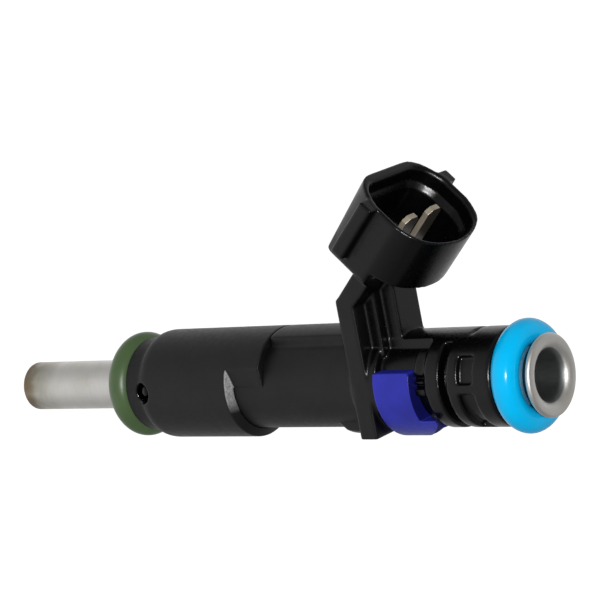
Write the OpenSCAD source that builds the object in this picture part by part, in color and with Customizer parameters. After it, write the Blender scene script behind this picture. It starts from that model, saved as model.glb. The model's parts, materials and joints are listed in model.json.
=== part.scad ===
// Port fuel injector with an extended spray tube and a 45 degree connector.
// The injector's axis is X: it sprays toward -X and fuel enters from +X.
// The origin is on that axis at the middle of the lower seal. The connector rises toward +Z.

/* [Seals] */
// Distance between the middles of the two seals
seal_spacing = 65; // [62:0.5:67]
// Thickness of a seal's round section
seal_section = 3.53; // [3.4:0.01:3.6]
// Radius of the tube that a seal sits on
seal_seat_r = 3.76; // [3.7:0.01:3.8]

/* [Spray tube] */
// Distance from the lower seal to the tip of the spray tube
tip_reach = 21.5; // [19:0.1:26]
// Radius of the spray tube
tip_r = 3.43; // [3.4:0.01:3.5]
// Radius of the bore inside the spray tube
tip_bore_r = 2.75; // [2.7:0.01:2.8]

/* [Housing] */
// Radius of the big lower moulding
lower_r = 7.5; // [7.3:0.05:7.8]
// Radius of the neck behind the lower seal
neck_r = 6.48; // [6.3:0.02:6.6]
// Where the lower moulding ends round the underside
lower_end = 20.6; // [20.4:0.1:22]
// Where the hood of the lower moulding ends along the top
hood_end = 26.4; // [25:0.1:28]
// Angle from the top down to the start of the hood's ramp
hood_angle = 62; // [55:1:65]
// Radius of the middle barrel
barrel_r = 6.29; // [6.2:0.01:6.3]
// Half the width of the rib along the top
rib_half = 3.16; // [2.8:0.01:3.5]

/* [Connector tower] */
// Near face of the tower's wide plate
plate_x = 41.3; // [41:0.1:42]
// Thickness of the wide plate
plate_t = 2.8; // [2.6:0.1:3]
// Half the width of the wide plate
plate_half = 6.43; // [6.4:0.01:6.6]
// Depth of the wide plate below the axis
plate_drop = 6.45; // [6.2:0.05:6.6]
// Far face of the tower's core
core_end = 48; // [47.6:0.1:48.4]
// Half the width of the tower's core
core_half = 2.5; // [2.2:0.1:2.8]

/* [Connector socket] */
// Tilt of the socket from +Z toward +X
tilt = 46; // [45:0.5:47]
// Middle of the socket's mouth along the axis
mouth_x = 53.37; // [53:0.1:54]
// Height of the middle of the mouth above the axis
mouth_z = 22.83; // [22.5:0.1:23.2]
// Distance from the socket's middle to its flat upper side
socket_flat = 7; // [6.9:0.05:7.1]
// Distance from the socket's middle to its two ends
socket_side = 8.12; // [8:0.02:8.2]
// Radius of the socket's round sides
socket_r = 8.32; // [8.2:0.02:8.5]
// Distance from the socket's middle to its bowed lower side
socket_bow = 6.98; // [6.8:0.02:7.1]
// Radius of the socket's corners
socket_corner = 4; // [3.8:0.1:4.2]
// Length of the socket
socket_len = 10.7; // [10.5:0.1:11]
// Depth of the socket's cavity
cavity_depth = 9.2; // [8.8:0.1:9.4]
// Wall of the socket at its mouth
socket_wall = 0.9; // [0.8:0.05:1]
// Depth of the ledge inside the socket
ledge_depth = 2.3; // [2:0.1:2.6]

/* [Terminals] */
// Distance between the middles of the two blades
blade_pitch = 5; // [4.9:0.1:5.1]
// Width of a blade
blade_w = 2.8; // [2.6:0.1:2.8]
// Thickness of a blade
blade_t = 0.8; // [0.6:0.05:0.8]
// Depth of the blades' tips below the mouth
blade_depth = 0.8; // [0.6:0.1:1.6]
// Offset of the blades from the middle of the socket
blade_offset = 0.6; // [0.5:0.05:1]

/* [Upper body] */
// Radius of the upper body
upper_r = 6.43; // [6.4:0.01:6.5]
// Radius of the floor of the clip's groove
clip_seat_r = 5.3; // [5.2:0.05:5.6]
// Outer radius of the clip
clip_r = 7.25; // [7.1:0.01:7.3]
// Height of the clip's two ends above the axis
clip_top = 2.46; // [2:0.02:2.8]
// Radius of the inlet's rolled rim
rim_r = 5.36; // [5.2:0.02:5.5]
// Distance from the upper seal to the inlet's face
rim_reach = 3.48; // [3.3:0.02:3.6]

/* [Valve] */
// Radius of the valve ball
ball_r = 1.75; // [1.7:0.05:1.8]
// Middle of the valve ball on the axis
ball_x = -17.4; // [-17.5:0.1:-17.3]
// Travel of the needle when the valve opens
lift = 0.1; // [0.06:0.01:0.12]
// Radius of the armature
armature_r = 3; // [2.9:0.05:3]
// Turns of the return spring
spring_turns = 11; // [8:1:13]

/* [Hidden] */

round_fn = 96;          // facets shown on a full round
gap = 0.03;             // room between pieces that sit in each other
cut = 0.5;              // how far a cutter passes through
tip_x = -tip_reach;
upper_seal_x = seal_spacing;
inlet_face = seal_spacing + rim_reach;
seal_mid_r = seal_seat_r + seal_section / 2;
barrel_top = seal_spacing - seal_section / 2 - gap;

// Stations of the magnetic circuit
yoke_start = 7.6;
yoke_end = 20;
yoke_t = 0.8;
yoke_r = 6.6;
coil_start = yoke_start + yoke_t + gap;
coil_end = yoke_end - yoke_t - gap;
coil_r = yoke_r - yoke_t + 0.15;
bobbin_core_r = 4.3;
bobbin_flange = 0.8;
pole_face = 14.05;
armature_start = 6.5;
armature_end = pole_face - lift - 0.05;
sleeve_start = 12.6;
sleeve_end = 15.4;
slide_gap = 0.06;       // running clearance round the armature and the ball
needle_r = 1.35;
needle_grip = 3;        // length of the needle tube held in the armature

// Bore of the inlet tube and what sits in it
spring_bore_r = 1.7;
spring_start = 11.5;
spring_end = 25;
spring_wire = 0.4;
spring_coil_r = 1.3;
lift_room = 0.12;        // room below the spring for the 0.1 mm lift of the needle
adjuster_end = 36;
mid_bore_r = 2.4;
mid_bore_start = 37;
filter_bore_r = 3;
filter_bore_start = 46;
inlet_bore_r = 3.2;
inlet_bore_start = 61.2;
funnel_depth = 1.4;
funnel_start = inlet_face - funnel_depth;
funnel_r = 4.55;
rim_edge = 0.4;         // rounding of the rim's outer edge
filter_start = 47.5;
filter_end = 61;

step_slope = 0.75;      // the lower moulding's end slopes over this length

// Lip of the lower moulding behind the lower seal, and the dimple on its shoulder
lip_start = 1.8;
lip_end = 2.6;
lip_bore_r = 5.45;
dimple_x = 5.15;
dimple_z = 0.5;
dimple_r = 1.45;
dimple_floor = 4.9;     // distance from the axis to the dimple's floor
dimple_dome_r = 0.95;

// Valve seat: a 45 degree cone that the ball rests on
cone_touch = ball_r * cos(45);
seat_back = ball_x - 0.55;
seat_front = tip_x + 0.6;
seat_hole_r = 0.6;

// Upper body stations
rib_end = plate_x + plate_t + 1.75;
clip_start = plate_x + plate_t + 1.34;
clip_end = 51.2;
ring1_start = 53.1;
ring1_end = 55.31;
ring2_start = 56.48;
ring2_end = 58.17;
slots_end = 60.35;
groove_r = 4.9;
slot_floor_r = 5.7;
stop_r = 6.2;           // raised floor beside the clip's ends
key_half = 2.6;         // half the width of the key between the clip's ends
groove_top = 31;        // angles from the top where the groove and the slots begin and end
slot_1 = [50, 84];
slot_2 = [95, 160];

// How far the tower's neck reaches across under the socket
neck_across = 2.1;

// Lead strips between the blades and the coil
leg_w = 1.2;
leg_inner = blade_pitch / 2 - blade_w / 2;
lead_z = 4.5;
lead_t = 0.6;
leg_x = plate_x + plate_t / 2;

// ---------- shared shapes ----------

// Profile of [radius, station] points turned round the injector's axis
module turned(points) {
    rotate([0, 90, 0])
        rotate_extrude($fn = round_fn)
            polygon(points);
}

module rod(r, x0, x1) {
    translate([x0, 0, 0])
        rotate([0, 90, 0])
            cylinder(r = r, h = x1 - x0, $fn = round_fn);
}

module pipe(r, bore, x0, x1) {
    difference() {
        rod(r, x0, x1);
        rod(bore, x0 - cut, x1 + cut);
    }
}

// Outline of [x, z] points made into a slab across Y
module slab(points, y0, y1) {
    translate([0, y1, 0])
        rotate([90, 0, 0])
            linear_extrude(height = y1 - y0)
                polygon(points);
}

module box(x, y, z) {
    translate([x[0], y[0], z[0]])
        cube([x[1] - x[0], y[1] - y[0], z[1] - z[0]]);
}

// Wedge round the axis, from angle a0 to a1 measured from the top toward -Y
module sector(a0, a1, r, x0, x1) {
    steps = 12;
    rim = [for (i = [0 : steps]) let (a = a0 + (a1 - a0) * i / steps) [r * cos(a), -r * sin(a)]];
    translate([x0, 0, 0])
        rotate([0, 90, 0])
            linear_extrude(height = x1 - x0)
                polygon(concat([[0, 0]], [for (p = rim) [-p[0], p[1]]]));
}

// Puts its children in the socket's frame: mouth at z = 0, cavity toward -z
module in_socket() {
    translate([mouth_x, 0, mouth_z])
        rotate([0, tilt, 0])
            children();
}

// Point of the socket's frame, as [x, z] in the injector's frame
function socket_point(across, up) = [
    mouth_x + across * cos(tilt) + up * sin(tilt),
    mouth_z - across * sin(tilt) + up * cos(tilt)
];

// Points round an arc, without the last one
function arc(middle, r, a0, a1) = let (steps = ceil(abs(a1 - a0) / 4)) [
    for (i = [0 : steps - 1]) let (a = a0 + (a1 - a0) * i / steps) middle + r * [cos(a), sin(a)]
];

// Outline of the socket: a flat upper side, round ends cut flat, a bowed lower side and round corners
function socket_outline(flat, side, r, bow, corner) = let (
    side_x = -0.25,
    bow_x = -4,
    reach = r - corner,
    bow_reach = bow - bow_x - corner,
    x1 = corner - flat,
    y1 = sqrt(pow(reach, 2) - pow(x1 - side_x, 2)),
    x2 = (pow(bow_reach, 2) - pow(reach, 2) - pow(bow_x, 2) + pow(side_x, 2)) / (2 * (side_x - bow_x)),
    y2 = sqrt(pow(reach, 2) - pow(x2 - side_x, 2)),
    half = concat(
        arc([x1, y1], corner, 180, atan2(y1, x1 - side_x)),
        arc([side_x, 0], r, atan2(y1, x1 - side_x), 180 - asin(side / r)),
        [[side_x + r * cos(180 - asin(side / r)), side]],
        arc([side_x, 0], r, asin(side / r), atan2(y2, x2 - side_x)),
        arc([x2, y2], corner, atan2(y2, x2 - side_x), atan2(y2, x2 - bow_x)),
        arc([bow_x, 0], bow - bow_x, atan2(y2, x2 - bow_x), 0)
    )
) concat(half, [[bow, 0]], [for (i = [len(half) - 1 : -1 : 0]) [half[i][0], -half[i][1]]]);

// The outline moved in by a wall that is thicker on the flat side and thinner on the bowed one
function inner_outline(wall) = socket_outline(
    socket_flat - wall - 0.5, socket_side - wall, socket_r - wall,
    socket_bow - wall + 0.3, socket_corner - wall
);

module socket_form(outline, z0, z1) {
    translate([0, 0, z0])
        linear_extrude(height = z1 - z0)
            polygon(outline);
}

module seal(x) {
    turned([
        for (a = [0 : 15 : 345])
            [seal_mid_r + seal_section / 2 * cos(a), x + seal_section / 2 * sin(a)]
    ]);
}

// ---------- spray tube and valve ----------

module nozzle_tube() {
    color([0.75, 0.73, 0.7])
        turned([
            [tip_bore_r, tip_x + 0.2], [tip_bore_r + 0.12, tip_x], [tip_r - 0.25, tip_x],
            [tip_r - 0.07, tip_x + 0.07], [tip_r, tip_x + 0.25], [tip_r, -3],
            [seal_seat_r, -2.2], [seal_seat_r, sleeve_start], [armature_r + slide_gap, sleeve_start],
            [armature_r + slide_gap, armature_start - 0.6], [tip_bore_r, armature_start - 0.9]
        ]);
}

module orifice_plate() {
    color([0.7, 0.69, 0.66])
        difference() {
            rod(tip_bore_r - gap, tip_x + 0.35, tip_x + 0.6);
            for (a = [45 : 90 : 315])
                rotate([a, 0, 0])
                    translate([0, 0, 0.38])
                        rod(0.14, tip_x, tip_x + 1);
        }
}

module valve_seat() {
    cone_shift = (gap + 0.02) * sqrt(2);
    cone_x = ball_x - cone_touch;
    color([0.62, 0.61, 0.6])
        turned([
            [seat_hole_r, seat_front + gap], [tip_bore_r - gap, seat_front + gap],
            [tip_bore_r - gap, seat_back], [cone_touch + seat_back - cone_x + cone_shift, seat_back],
            [seat_hole_r, cone_x - cone_touch + seat_hole_r - cone_shift]
        ]);
}

module ball_guide() {
    color([0.6, 0.58, 0.55])
        difference() {
            pipe(tip_bore_r - gap, ball_r + slide_gap, seat_back + gap, ball_x + 0.6);
            for (a = [30 : 60 : 330])
                rotate([a, 0, 0])
                    translate([0, 0, ball_r + 0.25])
                        rod(0.4, seat_back - cut, ball_x + 1);
        }
}

module valve_ball() {
    color([0.8, 0.8, 0.82])
        translate([ball_x, 0, 0])
            sphere(r = ball_r, $fn = 64);
}

module needle_tube() {
    bore = 0.95;
    clear = 0.04;
    color([0.7, 0.7, 0.72])
        difference() {
            turned([
                [bore, ball_x + sqrt(pow(ball_r, 2) - pow(bore, 2)) + clear],
                [needle_r, ball_x + sqrt(pow(ball_r, 2) - pow(needle_r, 2)) + clear],
                [needle_r, armature_start + needle_grip], [bore, armature_start + needle_grip]
            ]);
            // two cross holes let the fuel out to the ball
            for (i = [0, 1])
                translate([-11 + 1.6 * i, 0, 0])
                    rotate([90 * i, 0, 0])
                        translate([0, 0, -3])
                            cylinder(r = 0.5, h = 6, $fn = 32);
        }
}

module armature() {
    color([0.5, 0.5, 0.52])
        turned([
            [needle_r + 0.01, armature_start], [armature_r - 0.25, armature_start],
            [armature_r, armature_start + 0.25], [armature_r, armature_end],
            [spring_bore_r, armature_end], [spring_bore_r, spring_start], [0.8, spring_start],
            [0.8, armature_start + needle_grip + gap], [needle_r + 0.01, armature_start + needle_grip + gap]
        ]);
}

// Round wire wound on the axis, as rings of points
function coil_point(t, a) = let (
    turn = 360 * spring_turns * t,
    x = spring_start + spring_wire / 2 + lift_room
        + (spring_end - spring_start - spring_wire - gap - lift_room) * t,
    r = spring_coil_r + spring_wire / 2 * cos(a)
) [x + spring_wire / 2 * sin(a), r * cos(turn), r * sin(turn)];

module return_spring() {
    sides = 6;
    rings = spring_turns * 20;
    points = [for (i = [0 : rings]) for (k = [0 : sides - 1]) coil_point(i / rings, 360 * k / sides)];
    walls = [
        for (i = [0 : rings - 1])
            for (k = [0 : sides - 1])
                let (n = (k + 1) % sides)
                [i * sides + k, i * sides + n, (i + 1) * sides + n, (i + 1) * sides + k]
    ];
    ends = [
        [for (k = [sides - 1 : -1 : 0]) k],
        [for (k = [0 : sides - 1]) rings * sides + k]
    ];
    color([0.45, 0.45, 0.48])
        polyhedron(points = points, faces = concat(walls, ends), convexity = 6);
}

// ---------- seals ----------

module lower_oring() {
    color([0.29, 0.4, 0.22])
        seal(0);
}

module upper_oring() {
    color([0.0, 0.66, 0.95])
        seal(upper_seal_x);
}

module lower_backup_ring() {
    color([0.12, 0.12, 0.13])
        pipe(lip_bore_r - gap, seal_seat_r + gap, lip_start, lip_end);
}

module upper_backup_ring() {
    color([0.12, 0.12, 0.13])
        pipe(4.35, seal_seat_r + gap, upper_seal_x + 1.8, inlet_face - 1.23);
}

// ---------- lower moulding and solenoid ----------

// The black moulding round the solenoid, with a hood that reaches further along the top
module lower_housing() {
    shoulder = lower_r - neck_r;
    color([0.13, 0.13, 0.14])
        difference() {
            union() {
                turned(concat(
                    [[seal_seat_r + gap, lip_end + gap], [lip_bore_r, lip_end + gap],
                     [lip_bore_r, lip_start + gap]],
                    [[6, 1.78], [6.3, 1.67], [neck_r - 0.04, 1.6], [neck_r, 1.7], [neck_r, 3.4]],
                    [for (a = [0 : 10 : 90])
                        [neck_r + shoulder * (1 - cos(a)) / 2, 3.8 + 0.9 * sin(a)]],
                    [for (a = [0 : 10 : 90])
                        [neck_r + shoulder * (1 + sin(a)) / 2, 6.3 - 1.6 * cos(a)]],
                    [[lower_r, lower_end], [barrel_r + gap, lower_end + step_slope],
                     [barrel_r + gap, yoke_end + 0.1],
                     [yoke_r + gap, yoke_end + 0.1], [yoke_r + gap, yoke_start - gap],
                     [seal_seat_r + gap, yoke_start - gap]]
                ));
                hood();
            }
            // round dimple on the side, with a small dome in it
            translate([dimple_x, -dimple_floor, dimple_z])
                rotate([90, 0, 0])
                    difference() {
                        cylinder(r = dimple_r, h = lower_r + cut - dimple_floor, $fn = 48);
                        translate([0, 0, dimple_dome_r - 0.2])
                            sphere(r = dimple_dome_r, $fn = 48);
                    }
        }
}

// Top part of the moulding's end, whose edges run down in a ramp
module hood() {
    ramp_angle = 24;
    ramp = [for (s = [-1, 1]) for (t = [0, 1])
        let (a = hood_angle + ramp_angle * t, r = t > 0 ? barrel_r + gap : lower_r)
        [r * cos(a), s * r * sin(a)]];
    difference() {
        intersection() {
            rod(lower_r, lower_end - 0.01, hood_end);
            union() {
                sector(-hood_angle, hood_angle, lower_r + 2, lower_end - 0.1, hood_end + 0.1);
                translate([lower_end - 0.1, 0, 0])
                    rotate([0, 90, 0])
                        linear_extrude(height = hood_end - lower_end + 0.2)
                            polygon([
                                [0, 0], [-ramp[0][0], ramp[0][1]], [-ramp[1][0], ramp[1][1]]
                            ]);
                translate([lower_end - 0.1, 0, 0])
                    rotate([0, 90, 0])
                        linear_extrude(height = hood_end - lower_end + 0.2)
                            polygon([
                                [0, 0], [-ramp[3][0], ramp[3][1]], [-ramp[2][0], ramp[2][1]]
                            ]);
            }
        }
        rod(barrel_r + gap, lower_end - cut, hood_end + cut);
    }
}

module coil_housing() {
    color([0.55, 0.55, 0.57])
        turned([
            [seal_seat_r + gap, yoke_start], [yoke_r - 0.4, yoke_start], [yoke_r, yoke_start + 0.4],
            [yoke_r, yoke_end], [yoke_r - yoke_t + 0.2, yoke_end],
            [yoke_r - yoke_t + 0.2, yoke_start + yoke_t], [seal_seat_r + gap, yoke_start + yoke_t]
        ]);
}

module flux_washer() {
    color([0.58, 0.58, 0.6])
        difference() {
            pipe(yoke_r - yoke_t + 0.2 - gap, seal_seat_r + gap, coil_end + gap, yoke_end);
            box([coil_end, yoke_end + 1], [-2.6, 2.6], [4.1, yoke_r + 1]);
        }
}

module coil_bobbin() {
    color([0.2, 0.19, 0.18])
        turned([
            [seal_seat_r + gap, coil_start], [coil_r - gap, coil_start],
            [coil_r - gap, coil_start + bobbin_flange], [bobbin_core_r, coil_start + bobbin_flange],
            [bobbin_core_r, coil_end - bobbin_flange], [coil_r - gap, coil_end - bobbin_flange],
            [coil_r - gap, coil_end], [seal_seat_r + gap, coil_end]
        ]);
}

module coil_winding() {
    wire = 0.35;
    start = coil_start + bobbin_flange + gap;
    end = coil_end - bobbin_flange - gap;
    turns = floor((end - start) / wire);
    pitch = (end - start) / turns;
    outer = coil_r - 0.3;
    color([0.72, 0.36, 0.16])
        turned(concat(
            [[bobbin_core_r + gap, start]],
            [for (i = [0 : turns - 1]) for (k = [0, 1])
                [outer - 0.12 * (1 - k), start + pitch * (i + k / 2)]],
            [[outer - 0.12, end], [bobbin_core_r + gap, end]]
        ));
}

module nonmagnetic_sleeve() {
    color([0.78, 0.72, 0.55])
        pipe(seal_seat_r, armature_r + slide_gap, sleeve_start + 0.01, sleeve_end - 0.01);
}

// ---------- inlet ----------

module inlet_tube() {
    color([0.78, 0.77, 0.74])
        turned(concat(
            [[spring_bore_r, pole_face], [armature_r, pole_face], [armature_r, sleeve_end],
             [seal_seat_r, sleeve_end], [seal_seat_r, inlet_face - 1.2],
             [seal_seat_r + 0.35, inlet_face - 0.72], [rim_r - rim_edge, inlet_face - 2 * rim_edge]],
            [for (a = [-60 : 15 : 90])
                [rim_r - rim_edge + rim_edge * cos(a), inlet_face + rim_edge * (sin(a) - 1)]],
            [for (a = [90 : -10 : 0])
                [funnel_r - (funnel_r - inlet_bore_r) * cos(a), funnel_start + funnel_depth * sin(a)]],
            [[inlet_bore_r, inlet_bore_start], [filter_bore_r, inlet_bore_start - 0.1],
             [filter_bore_r, filter_bore_start], [mid_bore_r, filter_bore_start - 1],
             [mid_bore_r, mid_bore_start], [spring_bore_r, mid_bore_start - 0.6]]
        ));
}

module adjusting_tube() {
    color([0.66, 0.6, 0.45])
        difference() {
            pipe(spring_bore_r - gap, 1, spring_end, adjuster_end);
            box([spring_end + 1.5, adjuster_end + 1], [-0.2, 0.2], [0, 3]);
        }
}

module filter_frame() {
    frame_r = 2.75;
    color([0.85, 0.82, 0.7])
        union() {
            pipe(filter_bore_r - gap, 2.3, filter_end - 3, filter_end - 1.2);
            pipe(frame_r, 0.6, filter_start, filter_start + 1);
            for (a = [0 : 90 : 270])
                rotate([a, 0, 0])
                    box([filter_start + 0.5, filter_end - 2], [-0.4, 0.4], [2.3, frame_r]);
        }
}

module filter_mesh() {
    color([0.7, 0.7, 0.62])
        pipe(2.28, 2.1, filter_start + 1 + gap, filter_end - 1.2);
}

module filter_collar() {
    color([0.75, 0.6, 0.3])
        pipe(filter_bore_r - gap, 2.5, filter_end - 1.2 + gap, filter_end);
}

// ---------- upper moulding ----------

// Barrel, top rib, connector tower and socket in one black moulding
module overmold_body() {
    color([0.13, 0.13, 0.14])
        difference() {
            union() {
                barrel();
                top_rib();
                foot_key();
                tower();
                socket_shell();
            }
            rod(seal_seat_r + gap, yoke_end - cut, upper_seal_x + 3);
            socket_cavity();
            terminal_shape(1, gap, -3);
            terminal_shape(-1, gap, -3);
        }
}

module barrel() {
    difference() {
        turned([
            [seal_seat_r - 0.5, yoke_end + gap], [barrel_r, yoke_end + gap], [barrel_r, plate_x + 0.5],
            [upper_r + 0.1, plate_x + 0.5], [upper_r + 0.1, clip_start - gap],
            [clip_seat_r, clip_start - gap],
            [clip_seat_r, ring1_start], [upper_r, ring1_start], [upper_r, ring1_end], [groove_r, ring1_end],
            [groove_r, ring2_start], [upper_r, ring2_start], [upper_r, barrel_top - 0.25],
            [upper_r - 0.25, barrel_top], [seal_seat_r - 0.5, barrel_top]
        ]);
        for (side = [-1, 1])
            for (slot = [slot_1, slot_2])
                ring_sector(side * slot[0], side * slot[1], upper_r + 1, slot_floor_r, ring2_end, slots_end);
        // mark across the top behind the second ring
        box([ring2_end + 0.2, ring2_end + 0.7], [-2.2, 2.2], [upper_r - 0.4, upper_r + 1]);
    }
    // the clip's groove and the ring groove stop short of the top
    intersection() {
        rod(upper_r, plate_x + 1, ring1_start + 0.1);
        box([plate_x, ring1_start + 1], [-key_half, key_half], [clip_seat_r - 2, upper_r + 1]);
    }
    ring_sector(-groove_top, groove_top, upper_r, groove_r - 0.2, ring1_end - 0.1, ring2_start + 0.1);
    // the floor is raised beside the clip's ends, with two thin slots across it
    for (side = [-1, 1])
        for (land = [[40, 73], [78.5, 83], [88, 98]])
            ring_sector(
                side * land[0], side * land[1], stop_r, clip_seat_r - 0.2, clip_end + gap, ring1_start + 0.1
            );
}

// Part of a ring round the axis, between two angles measured from the top toward -Y
module ring_sector(a0, a1, r, bore, x0, x1) {
    intersection() {
        pipe(r, bore, x0, x1);
        sector(a0, a1, 2 * r, x0 - cut, x1 + cut);
    }
}

module top_rib() {
    difference() {
        intersection() {
            rod(lower_r, hood_end + gap, plate_x + 0.5);
            box([hood_end, plate_x + 1], [-rib_half, rib_half], [0, 9]);
        }
        rod(5, hood_end - cut, plate_x + 1);
    }
}

// Shallow key under the barrel, with a chamfered front
module foot_key() {
    start = 36.4;
    low_r = 7.05;
    high_r = 7.3;
    intersection() {
        turned([
            [5, start], [barrel_r - 0.05, start], [low_r, start + 1], [high_r, plate_x - 0.8],
            [high_r, plate_x + 0.5], [5, plate_x + 0.5]
        ]);
        box([start - 1, plate_x + 1], [-4.2, 4.2], [-9, -4]);
    }
}

// Wide plate, narrow rib and core under the socket, with a neck whose far edge follows the socket's tilt
module tower() {
    plate_end = plate_x + plate_t;
    sunk = 1;               // how far the tower reaches into the socket's floor
    back_across = -0.62;    // the back of the neck
    back_low = -15.8;
    bend_z = 11.2;
    bend_up = -12.4;
    side_rib_half = 4.05;
    root_z = 4;
    neck_low = socket_point(back_across, back_low);
    slab([
        [plate_x, -plate_drop], [plate_end, -plate_drop], [plate_end, bend_z],
        socket_point(neck_across, bend_up), socket_point(neck_across, sunk - socket_len),
        socket_point(back_across, sunk - socket_len), neck_low, [plate_x, neck_low[1] - 0.1]
    ], -plate_half, plate_half);
    slab([
        [plate_end - 0.5, root_z], [rib_end, root_z], [rib_end, 15], [plate_end - 0.5, 15]
    ], -side_rib_half, side_rib_half);
    slab([
        [plate_end - 0.5, root_z], [core_end, root_z], [core_end, 14],
        socket_point(4.5, sunk + 0.5 - socket_len),
        socket_point(0, sunk - socket_len), [plate_end - 0.5, 13]
    ], -core_half, core_half);
}

// Shell of the socket with a rib along each side; its back end is chamfered toward the tower
module socket_shell() {
    rib_in = -3.65;
    rib_out = -1.65;
    rib_reach = 9.55;
    rib_low = -8.6;
    side_low = -8.5;
    lower_low = -8.1;       // the lower side ends here
    draft_start = -0.4;     // the upper side slopes in from here
    draft = 0.55;
    corner_reach = 8.06;    // distance from the socket's middle to its upper corners
    draft_out = draft * (1 - draft_start) / (socket_len + draft_start);
    in_socket()
        difference() {
            union() {
                socket_form(
                    socket_outline(socket_flat, socket_side, socket_r, socket_bow, socket_corner),
                    -socket_len, 0
                );
                translate([rib_in, -rib_reach, rib_low])
                    cube([rib_out - rib_in, 2 * rib_reach, -rib_low - 0.05]);
            }
            // the upper side and its corners slope in toward the tower
            for (side = [[0, socket_flat], [23, corner_reach], [-23, corner_reach]])
                rotate([0, 0, side[0]])
                    rotate([90, 0, 0])
                        linear_extrude(height = 4 * socket_r, center = true)
                            polygon([
                                [-side[1] - 2, 1], [-side[1] - draft_out, 1],
                                [-side[1] + draft, -socket_len], [-side[1] + draft, -socket_len - 1],
                                [-side[1] - 2, -socket_len - 1]
                            ]);
            // the lower side ends sooner than the upper one
            translate([neck_across, -2 * socket_r, -socket_len - 1])
                cube([10, 4 * socket_r, socket_len + lower_low + 1]);
            for (side = [0, 1])
                mirror([0, side, 0])
                    translate([-2 * socket_r, 0, 0])
                        rotate([90, 0, 90])
                            linear_extrude(height = 4 * socket_r)
                                polygon([
                                    [plate_half, -socket_len - 0.25], [rib_reach, side_low],
                                    [rib_reach + 4, side_low],
                                    [rib_reach + 4, -socket_len - 3], [plate_half, -socket_len - 3]
                                ]);
        }
}

// Cavity that narrows in three fine steps, with an eased edge at the mouth
module socket_cavity() {
    ease = 0.25;
    step = 0.22;
    step_depth = 0.3;
    in_socket() {
        socket_form(inner_outline(socket_wall - ease), -0.3, cut);
        socket_form(inner_outline(socket_wall), -ledge_depth, cut);
        for (i = [1, 2])
            socket_form(inner_outline(socket_wall + step * i), -ledge_depth - step_depth * i, cut);
        socket_form(inner_outline(socket_wall + step * 3), -cavity_depth, cut);
    }
}

// ---------- terminals ----------

// One brass blade with the strip that leads down the tower and along to the coil
module terminal_shape(side, grow, tip_extra) {
    half = blade_t / 2 + grow;
    y0 = leg_inner - grow;
    y1 = leg_inner + leg_w + grow;
    yb = leg_inner + blade_w + grow;
    knee_z = mouth_z - (mouth_x + blade_offset * cos(tilt) - leg_x) / tan(tilt) - blade_offset * sin(tilt);
    mitre = half * tan(tilt / 2);
    top = socket_point(blade_offset, -cavity_depth - 1.4);
    n = [cos(tilt) * half, -sin(tilt) * half];
    mirror([0, side < 0 ? 1 : 0, 0]) {
        // blade
        in_socket()
            translate([blade_offset, 0, 0])
                blade(half, y0, yb, tip_extra);
        // strip down the tower
        slab([
            top + n, top - n, [leg_x - half, knee_z + mitre], [leg_x - half, lead_z - grow],
            [leg_x + half, lead_z - grow], [leg_x + half, knee_z - mitre]
        ], y0, y1);
        // strip along the barrel
        box([coil_end + 0.05, leg_x], [y0, y1], [lead_z - grow, lead_z + lead_t + grow]);
    }
}

module blade(half, y0, y1, tip_extra) {
    foot = -cavity_depth - 1.6;
    tip = -blade_depth + tip_extra;
    point = 0.7;
    intersection() {
        translate([-half, y0, foot])
            cube([2 * half, y1 - y0, tip - foot]);
        rotate([90, 0, 90])
            linear_extrude(height = 4, center = true)
                polygon([
                    [y0, foot], [y1, foot], [y1, tip - point], [y1 - point, tip],
                    [y0 + point, tip], [y0, tip - point]
                ]);
    }
}

module terminal_left() {
    color([0.72, 0.6, 0.42])
        terminal_shape(-1, 0, 0);
}

module terminal_right() {
    color([0.72, 0.6, 0.42])
        terminal_shape(1, 0, 0);
}

// ---------- clip ----------

// Violet C-clip that wraps under the body, with two feet that reach toward the inlet
module index_clip() {
    foot_end = ring1_start + 0.5;
    foot_high = -4.1;
    foot_out = 5.64;
    sag = 0.2;              // the clip's outside is this much lower than its bore
    notch_x = clip_end - 2.35;
    notch_half = 1.57;
    slope = (foot_end - notch_x) / (foot_out - notch_half);
    corner = 0.35;
    color([0.22, 0.19, 0.62])
        difference() {
            union() {
                intersection() {
                    translate([0, 0, -sag])
                        rod(clip_r, clip_start, clip_end);
                    slab([
                        [0, -9], [clip_end + 1, -9], [clip_end + 1, clip_top - corner - 1],
                        [clip_end - corner, clip_top], [0, clip_top]
                    ], -9, 9);
                }
                intersection() {
                    translate([0, 0, -sag])
                        rod(clip_r, clip_end - 1, foot_end);
                    box([0, 90], [-9, 9], [-9, foot_high]);
                }
            }
            rod(clip_seat_r + gap, clip_start - cut, ring1_start - gap);
            rod(upper_r + gap, ring1_start - gap - 0.01, foot_end + cut);
            // notch between the feet
            translate([0, 0, -9])
                linear_extrude(height = 9 + foot_high)
                    polygon([
                        [notch_x, -notch_half], [notch_x, notch_half], [notch_x + slope * 6, notch_half + 6],
                        [notch_x + 20, notch_half + 6], [notch_x + 20, -notch_half - 6],
                        [notch_x + slope * 6, -notch_half - 6]
                    ]);
        }
}

nozzle_tube();
orifice_plate();
valve_seat();
ball_guide();
lower_oring();
lower_backup_ring();
lower_housing();
coil_housing();
flux_washer();
coil_bobbin();
coil_winding();
nonmagnetic_sleeve();
inlet_tube();
adjusting_tube();
filter_frame();
filter_mesh();
filter_collar();
overmold_body();
terminal_left();
terminal_right();
index_clip();
upper_oring();
upper_backup_ring();
valve_ball();
needle_tube();
armature();
return_spring();
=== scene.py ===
"""Fuel injector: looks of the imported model, in metres, in the model's own frame.

X is the injector's axis, from the spray tip to the fuel inlet, and Z points to the connector.
The outside nodes are replaced by copies with rounded edges, and the seals by finer rings. The inner
nodes keep their CAD meshes and only get a finish.
"""
import json
import math

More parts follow.
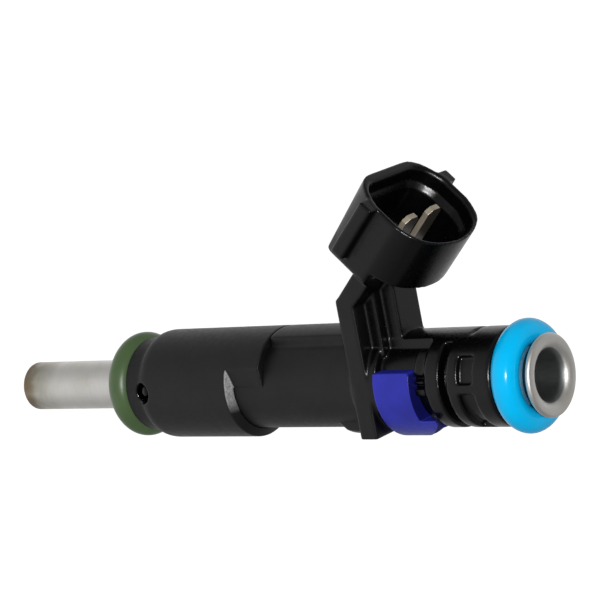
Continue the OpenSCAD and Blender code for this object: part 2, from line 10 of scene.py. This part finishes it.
import bmesh
import bpy
import numpy as np
from mathutils import Matrix, Vector


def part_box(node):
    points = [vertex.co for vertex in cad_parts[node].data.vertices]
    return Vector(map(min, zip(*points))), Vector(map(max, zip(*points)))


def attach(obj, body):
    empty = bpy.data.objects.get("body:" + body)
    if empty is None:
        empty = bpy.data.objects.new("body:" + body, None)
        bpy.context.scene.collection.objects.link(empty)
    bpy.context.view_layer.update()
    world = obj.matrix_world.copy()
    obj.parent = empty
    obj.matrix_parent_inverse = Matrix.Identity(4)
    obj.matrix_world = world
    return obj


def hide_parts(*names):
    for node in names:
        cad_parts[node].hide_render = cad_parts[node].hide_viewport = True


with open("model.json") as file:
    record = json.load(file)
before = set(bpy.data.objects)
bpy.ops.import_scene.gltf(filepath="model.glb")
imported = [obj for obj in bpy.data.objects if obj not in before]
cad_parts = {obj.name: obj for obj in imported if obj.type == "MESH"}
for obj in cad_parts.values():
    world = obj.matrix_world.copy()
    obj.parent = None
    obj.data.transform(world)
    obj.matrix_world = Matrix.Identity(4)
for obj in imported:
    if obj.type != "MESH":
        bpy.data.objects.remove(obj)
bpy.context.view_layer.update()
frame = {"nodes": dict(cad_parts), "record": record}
NODES = frame["nodes"]
MM = 0.001
HOUSING = "housing"


# ---------- camera: the viewing angle of the reference ----------

AZIMUTH = math.radians(40.13)
ELEVATION = math.radians(9.99)
ROLL = math.radians(-10.91)
DISTANCE = 358.49 * MM
LENS, SENSOR = 162, 36          # both in millimetres, as cameras state them
NEAREST, FARTHEST = 0.01, 10
TARGET = Vector((30.281, 0, 11.043)) * MM
TOWARD_CAMERA = Vector((math.sin(AZIMUTH) * math.cos(ELEVATION),
                        -math.cos(AZIMUTH) * math.cos(ELEVATION),
                        math.sin(ELEVATION)))


def new_object(name, data):
    thing = bpy.data.objects.new(name, data)
    bpy.context.scene.collection.objects.link(thing)
    return thing


def make_camera():
    level = Vector((math.cos(AZIMUTH), math.sin(AZIMUTH), 0))
    above = TOWARD_CAMERA.cross(level)
    right = level * math.cos(ROLL) + above * math.sin(ROLL)
    up = -level * math.sin(ROLL) + above * math.cos(ROLL)
    camera = new_object("camera", bpy.data.cameras.new("camera"))
    camera.data.lens = LENS
    camera.data.sensor_width = SENSOR
    camera.data.clip_start = NEAREST
    camera.data.clip_end = FARTHEST
    turn = Matrix((right, up, TOWARD_CAMERA)).transposed().to_4x4()
    camera.matrix_world = Matrix.Translation(TARGET + TOWARD_CAMERA * DISTANCE) @ turn
    bpy.context.scene.camera = camera


# ---------- node helpers ----------

class Nodes:
    """A short way to write a node tree.

    n.add("ShaderNodeX", {socket: value or link}, setting=value) adds a node and returns it.
    """

    def __init__(self, tree):
        self.tree = tree
        tree.nodes.clear()

    def add(self, kind, inputs=None, **settings):
        node = self.tree.nodes.new(kind)
        for key, value in settings.items():
            setattr(node, key, value)
        for key, value in (inputs or {}).items():
            self.put(node.inputs[key], value)
        return node

    def put(self, socket, value):
        if isinstance(value, bpy.types.NodeSocket):
            self.tree.links.new(value, socket)
        else:
            socket.default_value = value

    def noise(self, where, scale, detail=3.0, rough=0.5):
        return self.add("ShaderNodeTexNoise", {"Vector": where, "Scale": scale, "Detail": detail,
                                               "Roughness": rough}).outputs["Fac"]

    def maths(self, what, a, b=0.0):
        return self.add("ShaderNodeMath", {0: a, 1: b}, operation=what).outputs[0]

    def vectors(self, what, a, b):
        """A number from two vectors: their dot product or their distance."""
        return self.add("ShaderNodeVectorMath", {0: a, 1: b}, operation=what).outputs["Value"]

    def spread(self, value, low, high, out_low, out_high):
        """Maps low..high to out_low..out_high, and holds the ends."""
        node = self.add("ShaderNodeMapRange", {"Value": value, "From Min": low, "From Max": high,
                                               "To Min": out_low, "To Max": out_high}, clamp=True)
        return node.outputs["Result"]

    def blend(self, fac, a, b):
        """Colour a where fac is 0, colour b where it is 1."""
        node = self.add("ShaderNodeMix", data_type="RGBA", blend_type="MIX")
        self.put(node.inputs[0], fac)
        self.put(node.inputs[6], a)
        self.put(node.inputs[7], b)
        return node.outputs[2]

    def stretched(self, where, scale):
        return self.add("ShaderNodeMapping", {"Vector": where, "Scale": scale}).outputs["Vector"]

    def from_axis(self, apart):
        """Distance from the injector's axis, of a separated place."""
        squares = [self.maths("MULTIPLY", apart.outputs[k], apart.outputs[k]) for k in ("Y", "Z")]
        return self.maths("SQRT", self.maths("ADD", *squares))

    def facing(self, way):
        """How far the surface faces a direction, from -1 to 1."""
        normal = self.add("ShaderNodeTexCoord").outputs["Normal"]
        return self.vectors("DOT_PRODUCT", normal, way)

    def bump(self, height, strength, distance, onto=None):
        inputs = {"Height": height, "Strength": strength, "Distance": distance}
        if onto is not None:
            inputs["Normal"] = onto
        return self.add("ShaderNodeBump", inputs).outputs["Normal"]

    def edges(self, reach):
        """0 on flat surface, rising to 1 on edges within reach."""
        soft = self.add("ShaderNodeBevel", {"Radius": reach}, samples=4).outputs["Normal"]
        hard = self.add("ShaderNodeNewGeometry").outputs["Normal"]
        return self.spread(self.vectors("DOT_PRODUCT", soft, hard), 1.0, 0.9, 0.0, 1.0)


def colour(r, g, b):
    return (r, g, b, 1.0)


def shade(base, share):
    """The colour base, brighter or darker by the factor share."""
    return colour(*[c * share for c in base])


def material(name, **uniform):
    """A Principled material: its tree, its shader, and the object's own coordinates."""
    mat = bpy.data.materials.new(name)
    mat.use_nodes = True
    n = Nodes(mat.node_tree)
    shader = n.add("ShaderNodeBsdfPrincipled")
    for key, value in uniform.items():
        shader.inputs[key.replace("_", " ")].default_value = value
    out = n.add("ShaderNodeOutputMaterial")
    n.tree.links.new(shader.outputs["BSDF"], out.inputs["Surface"])
    where = n.add("ShaderNodeTexCoord").outputs["Object"]
    return mat, n, shader, where


def finish_material(n, shader, base, rough, normal):
    n.put(shader.inputs["Base Color"], base)
    n.put(shader.inputs["Roughness"], rough)
    n.put(shader.inputs["Normal"], normal)


# ---------- materials ----------
# Texture scales are per metre: 1000 repeats about every millimetre.

DRIFT_SCALE, CLOUD_SCALE, GRAIN_SCALE, SPECKLE_SCALE = 260, 1500, 5200, 3800
TOWARD_INLET = (1, 0, 0)
TOWARD_BROAD_FACE = (0.695, 0, -0.719)      # the broad face of a blade that looks down and to the inlet
POLISH_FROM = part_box("index_clip")[0].x - 1.5 * MM
DIMPLE = Vector((5.15, -5.7, 0.5)) * MM, 1.8 * MM       # a middle and a radius
SLOPE_X = 20.5 * MM, 21.45 * MM             # stations either side of the lower moulding's sloping end
GLINT_Z = -2.6 * MM, -0.6 * MM             # the painted highlight on the slope fades in between these heights
INLET_BORE_R = 3.42 * MM, 3.58 * MM         # the painted shade in the inlet's bore fades out between these radii
TIP_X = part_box("nozzle_tube")[0].x
RAIL_SEAL_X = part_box("upper_oring")[0].x


def moulded_plastic(name, base, worn_and_glint, rough, polished_from=None, painted_end_shade=0.0, painted_shade_pit=None, painted_glint=None,
                    **uniform):
    """Satin moulded nylon: a fine spark-eroded grain, slow colour drift and lighter, smoother edges.

    Past the station polished_from the mould was smoother, so the surface is darker and glossier.
    Faces toward the inlet get painted shade, darker by the share painted_end_shade. Inside the dimple
    at painted_shade_pit, a middle and a radius, painted shade makes the surface near black, and it is
    glossier there too. Between the two stations of painted_glint, faces toward the inlet get a speckled
    painted highlight, which fades in from its lower to its upper height. The lighter edges are partly
    wear and partly a painted highlight.
    """
    mat, n, shader, where = material(name, **uniform)
    drift = n.noise(where, DRIFT_SCALE, 4)
    cloud = n.noise(where, CLOUD_SCALE, 3)
    fine = n.noise(where, GRAIN_SCALE, 3, 0.7)
    edge = n.edges(0.2 * MM)
    body = n.blend(n.spread(drift, 0.35, 0.65, 0.0, 1.0), colour(*base),
                   colour(*[c * 1.35 + 0.001 for c in base]))
    # lighter edges: partly wear, partly a painted highlight where edges catch the light
    body = n.blend(n.maths("MULTIPLY", edge, 0.35), body, colour(*worn_and_glint))
    # painted shade: faces toward the inlet are painted darker, as if shaded in the slot
    if painted_end_shade:
        body = n.blend(n.spread(n.facing(TOWARD_INLET), 0.55, 0.9, 0.0, painted_end_shade), body,
                       shade(base, 0.1))
    apart = n.add("ShaderNodeSeparateXYZ", {"Vector": where})
    along = apart.outputs["X"]
    gloss = n.spread(n.maths("ADD", n.maths("MULTIPLY", cloud, 0.6), n.maths("MULTIPLY", fine, 0.4)),
                     0.3, 0.7, rough - 0.06, rough + 0.08)
    gloss = n.maths("SUBTRACT", gloss, n.maths("MULTIPLY", edge, 0.16))
    depth = 0.7
    if polished_from is not None:
        polish = n.spread(along, polished_from - 0.4 * MM, polished_from + 0.4 * MM, 0.0, 1.0)
        body = n.blend(polish, body, shade(base, 0.3))
        gloss = n.maths("SUBTRACT", gloss, n.maths("MULTIPLY", polish, 0.17))
        depth = n.spread(polish, 0.0, 1.0, 0.7, 0.25)
    if painted_shade_pit is not None:
        middle, reach = painted_shade_pit
        # painted shade: the dimple's inside is painted near black, as the shade in the hole
        inside = n.spread(n.vectors("DISTANCE", where, middle), reach, reach + 0.15 * MM, 1.0, 0.0)
        body = n.blend(inside, body, colour(0.0005, 0.0005, 0.0006))
        gloss = n.maths("SUBTRACT", gloss, n.maths("MULTIPLY", inside, 0.28))
    if painted_glint is not None:
        # painted highlight: faces toward the inlet on the slope are painted light grey, speckled
        first, last, low, high = painted_glint
        band = n.maths("MULTIPLY", n.spread(along, first, first + 0.1 * MM, 0.0, 1.0),
                       n.spread(along, last - 0.1 * MM, last, 1.0, 0.0))
        band = n.maths("MULTIPLY", band, n.spread(n.facing(TOWARD_INLET), 0.15, 0.45, 0.0, 1.0))
        band = n.maths("MULTIPLY", band, n.spread(apart.outputs["Z"], low, high, 0.0, 1.0))
        speckle = n.spread(n.noise(where, SPECKLE_SCALE, 3, 0.7), 0.3, 0.62, 0.35, 1.0)
        body = n.blend(n.maths("MULTIPLY", band, speckle), body, colour(0.3, 0.3, 0.3))
    finish_material(n, shader, body, gloss, n.bump(fine, depth, 0.01 * MM))
    return mat


def drawn_steel(name, base, rough):
    """Satin stainless: rings from turning and drawing, and faint stains.

    The spray tip is heat-tinted, olive in patches and brown at the very end. The inlet is a little
    rougher, and its bore has painted shade: it is painted dark.
    """
    mat, n, shader, where = material(name, Metallic=1.0)
    rings = n.noise(n.stretched(where, (9.0, 0.6, 0.6)), 900, 4, 0.6)
    scratches = n.noise(n.stretched(where, (0.5, 5.0, 5.0)), 1400, 4, 0.65)
    stain = n.noise(where, 220, 5, 0.6)
    body = n.blend(n.spread(stain, 0.4, 0.7, 0.0, 0.6), colour(*base),
                   colour(base[0] * 0.82, base[1] * 0.78, base[2] * 0.68))
    body = n.blend(n.spread(rings, 0.35, 0.65, 0.0, 0.25), body, shade(base, 0.8))
    apart = n.add("ShaderNodeSeparateXYZ", {"Vector": where})
    along = apart.outputs["X"]
    smudge = n.noise(where, 480, 4, 0.6)
    patch = n.noise(where, 330, 3, 0.5)
    reach = n.maths("ADD", along, n.maths("MULTIPLY", smudge, -2.6 * MM))
    olive = n.maths("MULTIPLY", n.spread(along, TIP_X + 1.2 * MM, TIP_X + 6.5 * MM, 0.95, 0.0),
                    n.spread(patch, 0.4, 0.6, 0.6, 1.0))
    body = n.blend(olive, body, colour(0.27, 0.25, 0.165))
    brown = n.spread(reach, TIP_X - 1.0 * MM, TIP_X + 0.9 * MM, 0.92, 0.0)
    body = n.blend(brown, body, colour(0.24, 0.165, 0.11))
    inlet = n.maths("GREATER_THAN", along, RAIL_SEAL_X)
    # painted shade: the inlet's bore is painted dark
    bore = n.maths("MULTIPLY", n.spread(n.from_axis(apart), *INLET_BORE_R, 0.9, 0.0), inlet)
    body = n.blend(bore, body, colour(0.17, 0.18, 0.19))
    finish = n.maths("ADD", n.maths("MULTIPLY", rings, 0.5), n.maths("MULTIPLY", scratches, 0.5))
    gloss = n.spread(finish, 0.35, 0.65, rough - 0.07, rough + 0.09)
    gloss = n.maths("ADD", gloss, n.maths("MULTIPLY", inlet, 0.08))
    normal = n.bump(rings, 0.35, 0.003 * MM)
    normal = n.bump(scratches, 0.25, 0.002 * MM, normal)
    finish_material(n, shader, body, gloss, normal)
    return mat


def rubber(name, base, dark, rough, **uniform):
    """Moulded seal rubber: slow mottling, a fine dusty grain and a soft sheen."""
    mat, n, shader, where = material(name, **uniform)
    mottle = n.noise(where, 420, 4, 0.6)
    fine = n.noise(where, 7000, 2, 0.6)
    body = n.blend(n.spread(mottle, 0.35, 0.7, 0.0, 0.7), colour(*base), colour(*dark))
    gloss = n.spread(mottle, 0.3, 0.7, rough - 0.04, rough + 0.08)
    finish_material(n, shader, body, gloss, n.bump(fine, 0.4, 0.003 * MM))
    return mat


def worn_metal(name, base, rough, metallic=1.0, streak=(1.0, 1.0, 1.0), scale=1600, painted_shade_side=None):
    """Plain metal with streaks, small stains and brighter edges, for the pieces inside and the blades.

    Faces that look in the direction painted_shade_side get painted shade: they are painted dark.
    """
    mat, n, shader, where = material(name, Metallic=metallic)
    streaks = n.noise(n.stretched(where, streak), scale, 5, 0.65)
    stain = n.noise(where, 500, 4, 0.6)
    edge = n.edges(0.15 * MM)
    body = n.blend(n.spread(stain, 0.4, 0.75, 0.0, 0.7), colour(*base), shade(base, 0.62))
    body = n.blend(n.maths("MULTIPLY", edge, 0.5), body, colour(*[min(1.0, c * 1.25) for c in base]))
    # painted shade on the faces that look toward the shaded side
    if painted_shade_side is not None:
        body = n.blend(n.spread(n.facing(painted_shade_side), 0.45, 0.85, 0.0, 0.9), body,
                       colour(0.05, 0.045, 0.04))
    gloss = n.spread(streaks, 0.3, 0.7, rough - 0.08, rough + 0.1)
    finish_material(n, shader, body, gloss, n.bump(streaks, 0.4, 0.003 * MM))
    return mat


def wound_copper():
    """Enamelled wire: fine turns round the axis and a clear varnish."""
    mat, n, shader, where = material("copper_wire_look", Metallic=1.0, Coat_Weight=0.6,
                                     Coat_Roughness=0.15)
    turns = n.add("ShaderNodeTexWave", {"Vector": where, "Scale": 420.0, "Distortion": 0.6},
                  bands_direction="X").outputs["Fac"]
    stain = n.noise(where, 900, 3)
    body = n.blend(n.spread(stain, 0.35, 0.7, 0.0, 1.0), colour(0.62, 0.27, 0.1),
                   colour(0.42, 0.16, 0.06))
    finish_material(n, shader, body, n.spread(stain, 0.3, 0.7, 0.22, 0.36),
                    n.bump(turns, 0.5, 0.02 * MM))
    return mat


def woven_filter():
    """Fine filter cloth: two crossed sets of threads."""
    mat, n, shader, where = material("filter_weave_look", Sheen_Weight=0.3)
    warp, weft = [n.add("ShaderNodeTexWave", {"Vector": where, "Scale": 900.0},
                        bands_direction=way).outputs["Fac"] for way in ("X", "Y")]
    weave = n.maths("MAXIMUM", warp, weft)
    body = n.blend(weave, colour(0.2, 0.2, 0.17), colour(0.66, 0.65, 0.56))
    finish_material(n, shader, body, n.spread(weave, 0, 1, 0.8, 0.55), n.bump(weave, 0.8, 0.03 * MM))
    return mat


def make_looks():
    """One material for each of the record's slots."""
    black = (0.003, 0.003, 0.0034)
    return {
        "stainless": drawn_steel("stainless_look", (0.80, 0.785, 0.76), 0.40),
        "valve_steel": worn_metal("valve_steel_look", (0.55, 0.55, 0.56), 0.26, streak=(0.3, 3, 3)),
        "ball_steel": worn_metal("ball_steel_look", (0.72, 0.72, 0.74), 0.12, scale=900),
        "green_rubber": rubber("green_rubber_look", (0.075, 0.13, 0.05), (0.06, 0.105, 0.04), 0.32),
        "blue_rubber": rubber("blue_rubber_look", (0.0, 0.53, 0.97), (0.0, 0.48, 0.90), 0.16,
                              Specular_IOR_Level=0.25),
        "black_plastic": moulded_plastic("black_plastic_look", black, (0.03, 0.03, 0.032), 0.45,
                                         polished_from=POLISH_FROM, painted_shade_pit=DIMPLE,
                                         painted_glint=SLOPE_X + GLINT_Z, Specular_IOR_Level=0.38),
        "ring_plastic": moulded_plastic("ring_plastic_look", black, (0.05, 0.05, 0.052), 0.46),
        "yoke_steel": worn_metal("yoke_steel_look", (0.42, 0.42, 0.44), 0.38, streak=(3, 0.5, 0.5)),
        "bobbin_plastic": moulded_plastic("bobbin_plastic_look", (0.09, 0.08, 0.07),
                                          (0.14, 0.13, 0.11), 0.5),
        "copper_wire": wound_copper(),
        "sleeve_steel": worn_metal("sleeve_steel_look", (0.62, 0.58, 0.48), 0.34, streak=(0.4, 3, 3)),
        "brass": worn_metal("brass_look", (0.44, 0.38, 0.29), 0.36, metallic=0.45, streak=(2, 2, 0.6),
                            painted_shade_side=TOWARD_BROAD_FACE),
        "filter_plastic": moulded_plastic("filter_plastic_look", (0.72, 0.68, 0.54),
                                          (0.8, 0.77, 0.66), 0.45),
        "filter_weave": woven_filter(),
        "violet_plastic": moulded_plastic("violet_plastic_look", (0.017, 0.021, 0.31),
                                          (0.08, 0.08, 0.5), 0.40, painted_end_shade=0.8,
                                          Specular_IOR_Level=0.3),
        "spring_steel": worn_metal("spring_steel_look", (0.42, 0.42, 0.44), 0.3),
    }


# ---------- pieces ----------

CURVE_ROUNDS = 2        # each round splits a triangle into four
WELD = 0.02 * MM        # the curved copy's cracks along sharp edges are narrower than this
FREE_PASSES = 2         # the first passes smooth all corners alike, to take off the voxels' steps
INNER_SHARE = 0.25      # later passes move inner corners by this share, so that they stay sharper


def curved_triangles(mesh, rounds):
    """The mesh's triangles, split so that they follow the true surface that its normals describe."""
    mesh.calc_loop_triangles()
    count = len(mesh.loop_triangles)
    corner = np.zeros(count * 3, np.int64)
    mesh.loop_triangles.foreach_get("loops", corner)
    vertex = np.zeros(len(mesh.loops), np.int64)
    mesh.loops.foreach_get("vertex_index", vertex)
    place = np.zeros(len(mesh.vertices) * 3)
    mesh.vertices.foreach_get("co", place)
    normal = np.zeros(len(mesh.loops) * 3)
    mesh.corner_normals.foreach_get("vector", normal)
    p = place.reshape(-1, 3)[vertex[corner]].reshape(count, 3, 3)
    n = normal.reshape(-1, 3)[corner].reshape(count, 3, 3)
    for _ in range(rounds):
        middles = []
        for a, b in ((0, 1), (1, 2), (2, 0)):
            chord = p[:, b] - p[:, a]
            rise_a = np.sum(chord * n[:, a], axis=1, keepdims=True) * n[:, a]
            rise_b = np.sum(-chord * n[:, b], axis=1, keepdims=True) * n[:, b]
            lean = n[:, a] + n[:, b]
            lean /= np.maximum(np.linalg.norm(lean, axis=1, keepdims=True), 1e-9)
            middles.append(((p[:, a] + p[:, b]) / 2 - (rise_a + rise_b) / 8, lean))
        (m0, l0), (m1, l1), (m2, l2) = middles
        p = np.concatenate([np.stack(t, axis=1) for t in
                            ((p[:, 0], m0, m2), (m0, p[:, 1], m1), (m2, m1, p[:, 2]), (m0, m1, m2))])
        n = np.concatenate([np.stack(t, axis=1) for t in
                            ((n[:, 0], l0, l2), (l0, n[:, 1], l1), (l2, l1, n[:, 2]), (l0, l1, l2))])
    return p


def baked(piece):
    """Applies the piece's modifiers to its mesh."""
    seen = bpy.context.evaluated_depsgraph_get()
    mesh = bpy.data.meshes.new_from_object(piece.evaluated_get(seen))
    mesh.name = piece.name
    piece.modifiers.clear()
    piece.data = mesh


def shade_smooth(mesh):
    for face in mesh.polygons:
        face.use_smooth = True


def ease_edges(mesh, passes):
    """Rounds the outward edges of a mesh of quads, in so many passes."""
    count = len(mesh.vertices)
    flat = np.zeros(count * 3)
    mesh.vertices.foreach_get("co", flat)
    place = flat.reshape(-1, 3)
    ends = np.zeros(len(mesh.edges) * 2, np.int32)
    mesh.edges.foreach_get("vertices", ends)
    a, b = ends.reshape(-1, 2).T
    corners = np.zeros(len(mesh.loops), np.int32)
    mesh.loops.foreach_get("vertex_index", corners)
    quads = corners.reshape(-1, 4)
    shares = np.maximum(np.bincount(a, minlength=count) + np.bincount(b, minlength=count), 1)[:, None]
    for step in range(passes):
        total = np.stack([np.bincount(a, place[b, k], count) + np.bincount(b, place[a, k], count)
                          for k in range(3)], axis=1)
        pull = (total / shares - place) / 2
        if step >= FREE_PASSES:
            across = np.cross(place[quads[:, 2]] - place[quads[:, 0]],
                              place[quads[:, 3]] - place[quads[:, 1]])
            normal = np.stack([sum(np.bincount(quads[:, c], across[:, k], count) for c in range(4))
                               for k in range(3)], axis=1)
            pull[np.sum(pull * normal, axis=1) > 0] *= INNER_SHARE
        place = place + pull
    mesh.vertices.foreach_set("co", place.ravel())
    mesh.update()


def rounded(name, node, voxel, passes, keep):
    """A copy of a CAD node whose edges are rounded, as a mould or a tool leaves them.

    The node's true surface is skinned with voxels of the given size, eased in so many passes, and
    thinned to the share keep of its faces.
    """
    points = curved_triangles(NODES[node].data, CURVE_ROUNDS)
    count = len(points)
    mesh = bpy.data.meshes.new(name)
    mesh.from_pydata(points.reshape(-1, 3).tolist(), [],
                     np.arange(count * 3).reshape(-1, 3).tolist())
    shape = bmesh.new()
    shape.from_mesh(mesh)
    bmesh.ops.remove_doubles(shape, verts=shape.verts, dist=WELD)
    shape.to_mesh(mesh)
    shape.free()
    piece = new_object(name, mesh)
    remesh = piece.modifiers.new("skin", "REMESH")
    remesh.mode = "VOXEL"
    remesh.voxel_size = voxel * 1.0
    baked(piece)
    ease_edges(piece.data, passes)
    thin = piece.modifiers.new("thin", "DECIMATE")
    thin.ratio = keep
    baked(piece)
    shade_smooth(piece.data)
    return piece


def adopt(piece, slot, *nodes):
    """The piece rides on the housing, takes its finish from the slot and stands for the nodes."""
    piece.data.materials.clear()
    piece.data.materials.append(LOOKS[slot])
    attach(piece, HOUSING)
    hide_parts(*nodes)


def seal_ring(name, node, slot):
    """A round rubber seal with the faint flash line of its mould."""
    low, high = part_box(node)
    section = (high.x - low.x) / 2
    outer = (high.z - low.z) / 2
    middle = outer - section
    station = (high.x + low.x) / 2
    turns, sides = 160, 48
    flash = 0.012 * MM
    flash_side = sides // 8     # 45 degrees from the widest circle, toward the inlet
    vertices = []
    for i in range(turns):
        around = 2 * math.pi * i / turns
        for k in range(sides):
            tilt = 2 * math.pi * k / sides
            reach = section + (flash if k == flash_side else 0)
            r = middle + reach * math.cos(tilt)
            vertices.append((station + reach * math.sin(tilt),
                             r * math.cos(around), r * math.sin(around)))
    faces = [(i * sides + k, i * sides + (k + 1) % sides,
              (i + 1) % turns * sides + (k + 1) % sides, (i + 1) % turns * sides + k)
             for i in range(turns) for k in range(sides)]
    mesh = bpy.data.meshes.new(name)
    mesh.from_pydata(vertices, [], faces)
    shade_smooth(mesh)
    adopt(new_object(name, mesh), slot, node)


# ---------- stage ----------

FLOOR_Z = -60 * MM
FLOOR_HALF = 3.0
BRIGHT_SIDE = (-0.93, 0.36, 0.0)        # behind the object and to its left


def make_stage():
    """A pale, evenly lit floor well below the object."""
    mesh = bpy.data.meshes.new("floor")
    corners = [(x * FLOOR_HALF, y * FLOOR_HALF, FLOOR_Z)
               for x, y in ((-1, -1), (1, -1), (1, 1), (-1, 1))]
    mesh.from_pydata(corners, [], [(0, 1, 2, 3)])
    floor = new_object("floor", mesh)
    paper, n, shader, where = material("paper", Roughness=0.9, Emission_Strength=0.68)
    shader.inputs["Emission Color"].default_value = colour(1, 1, 1)
    n.put(shader.inputs["Base Color"], n.blend(n.noise(where, 40, 3), colour(0.95, 0.95, 0.95),
                                               colour(0.96, 0.96, 0.96)))
    mesh.materials.append(paper)
    # the floor's light stays off the object's underside
    floor.visible_diffuse = False
    floor.visible_glossy = False


def make_room():
    """A white room that is brightest behind the object and to its left, and dimmer above and below."""
    world = bpy.data.worlds.new("room")
    world.use_nodes = True
    n = Nodes(world.node_tree)
    way = n.add("ShaderNodeTexCoord").outputs["Generated"]
    facing = n.vectors("DOT_PRODUCT", way, BRIGHT_SIDE)
    steep = n.maths("ABSOLUTE", n.add("ShaderNodeSeparateXYZ", {"Vector": way}).outputs["Z"])
    strength = n.maths("MULTIPLY", n.spread(facing, -0.9, 0.9, 0.16, 0.95),
                       n.spread(steep, 0.3, 0.85, 1.0, 0.4))
    shell = n.add("ShaderNodeBackground", {"Color": (1, 1, 1, 1), "Strength": strength})
    out = n.add("ShaderNodeOutputWorld")
    n.tree.links.new(shell.outputs["Background"], out.inputs["Surface"])
    bpy.context.scene.world = world
    bpy.context.scene.view_settings.view_transform = "Standard"


def area_light(name, place, aim, size, watts):
    light = bpy.data.lights.new(name, "AREA")
    light.shape = "RECTANGLE"
    light.size, light.size_y = size
    light.energy = watts
    lamp = new_object(name, light)
    lamp.location = place
    lamp.rotation_euler = (aim - place).to_track_quat("-Z", "Y").to_euler()


# ---------- build ----------

make_camera()
make_stage()
make_room()
area_light("front", place=TARGET + TOWARD_CAMERA * 0.75 + Vector((0.03, 0, 0.02)), aim=TARGET,
           size=(0.03, 0.04), watts=4.6)

LOOKS = make_looks()
for subpart in frame["record"]["subparts"]:
    cad = NODES[subpart["node"]]
    for holder in cad.material_slots:
        holder.material = LOOKS[subpart["material_slot"]]

# name, CAD node, slot, voxel in millimetres, passes that ease the edges, share of the faces kept
ROUNDED = (
    ("upper_moulding", "overmold_body", "black_plastic", 0.16, 7, 0.34),
    ("lower_moulding", "lower_housing", "black_plastic", 0.11, 7, 0.2),
    ("violet_clip", "index_clip", "violet_plastic", 0.08, 6, 0.4),
    ("inlet", "inlet_tube", "stainless", 0.09, 5, 0.2),
    ("spray_tube", "nozzle_tube", "stainless", 0.09, 5, 0.3),
    ("blade_left", "terminal_left", "brass", 0.07, 4, 0.4),
    ("blade_right", "terminal_right", "brass", 0.07, 4, 0.4),
)
for name, node, slot, voxel, passes, keep in ROUNDED:
    adopt(rounded(name, node, voxel * MM, passes, keep), slot, node)
seal_ring("green_seal", "lower_oring", "green_rubber")
seal_ring("blue_seal", "upper_oring", "blue_rubber")
